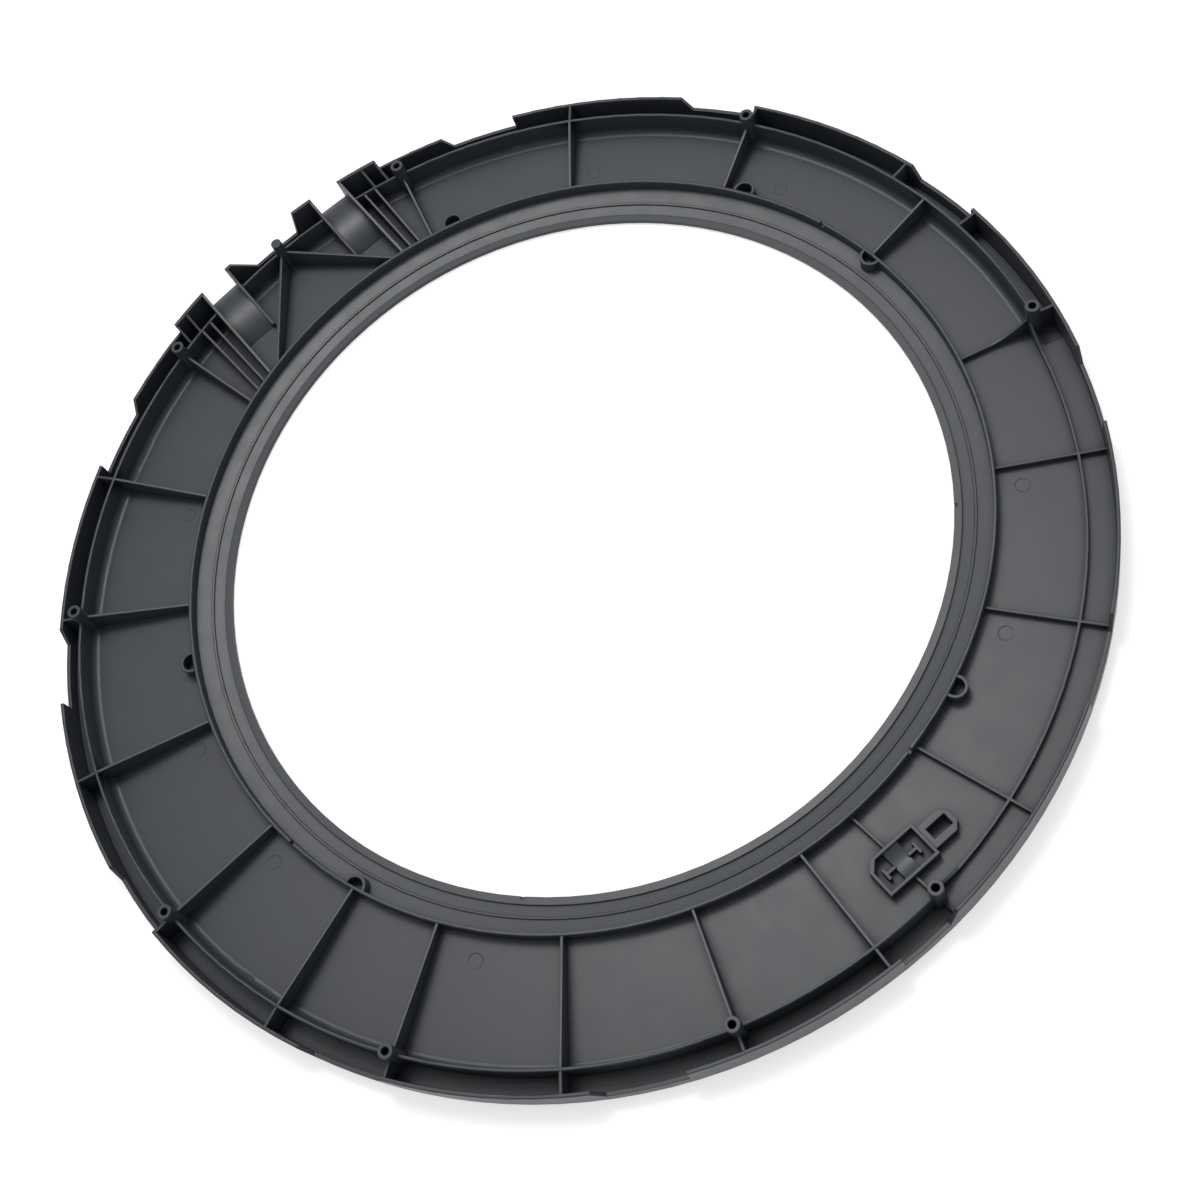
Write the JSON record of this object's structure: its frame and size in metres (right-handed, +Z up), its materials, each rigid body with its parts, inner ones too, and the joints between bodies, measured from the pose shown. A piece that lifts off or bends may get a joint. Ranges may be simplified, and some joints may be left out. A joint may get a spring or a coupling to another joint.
{
  "type": "washing machine inner door frame",
  "caption": "Round moulded inner frame of a front-loader washing machine door, with a collared opening, radial ribs, screw bosses, hinge pockets and a latch box.",
  "frame": {"origin": "on the table at the axis of the outer rim, level with the smooth front face", "axes": "+Z up out of the ribbed back; +X from the hinge side to the latch side; +Y towards the side to which the opening is shifted"},
  "size_m": [0.453, 0.453, 0.0215],
  "materials": {
    "frame_plastic": "dark grey moulded plastic with a fine satin grain and light handling scuffs"
  },
  "bodies": {
    "root": {"inner_door_frame": "frame_plastic"}
  },
  "joints": []
}
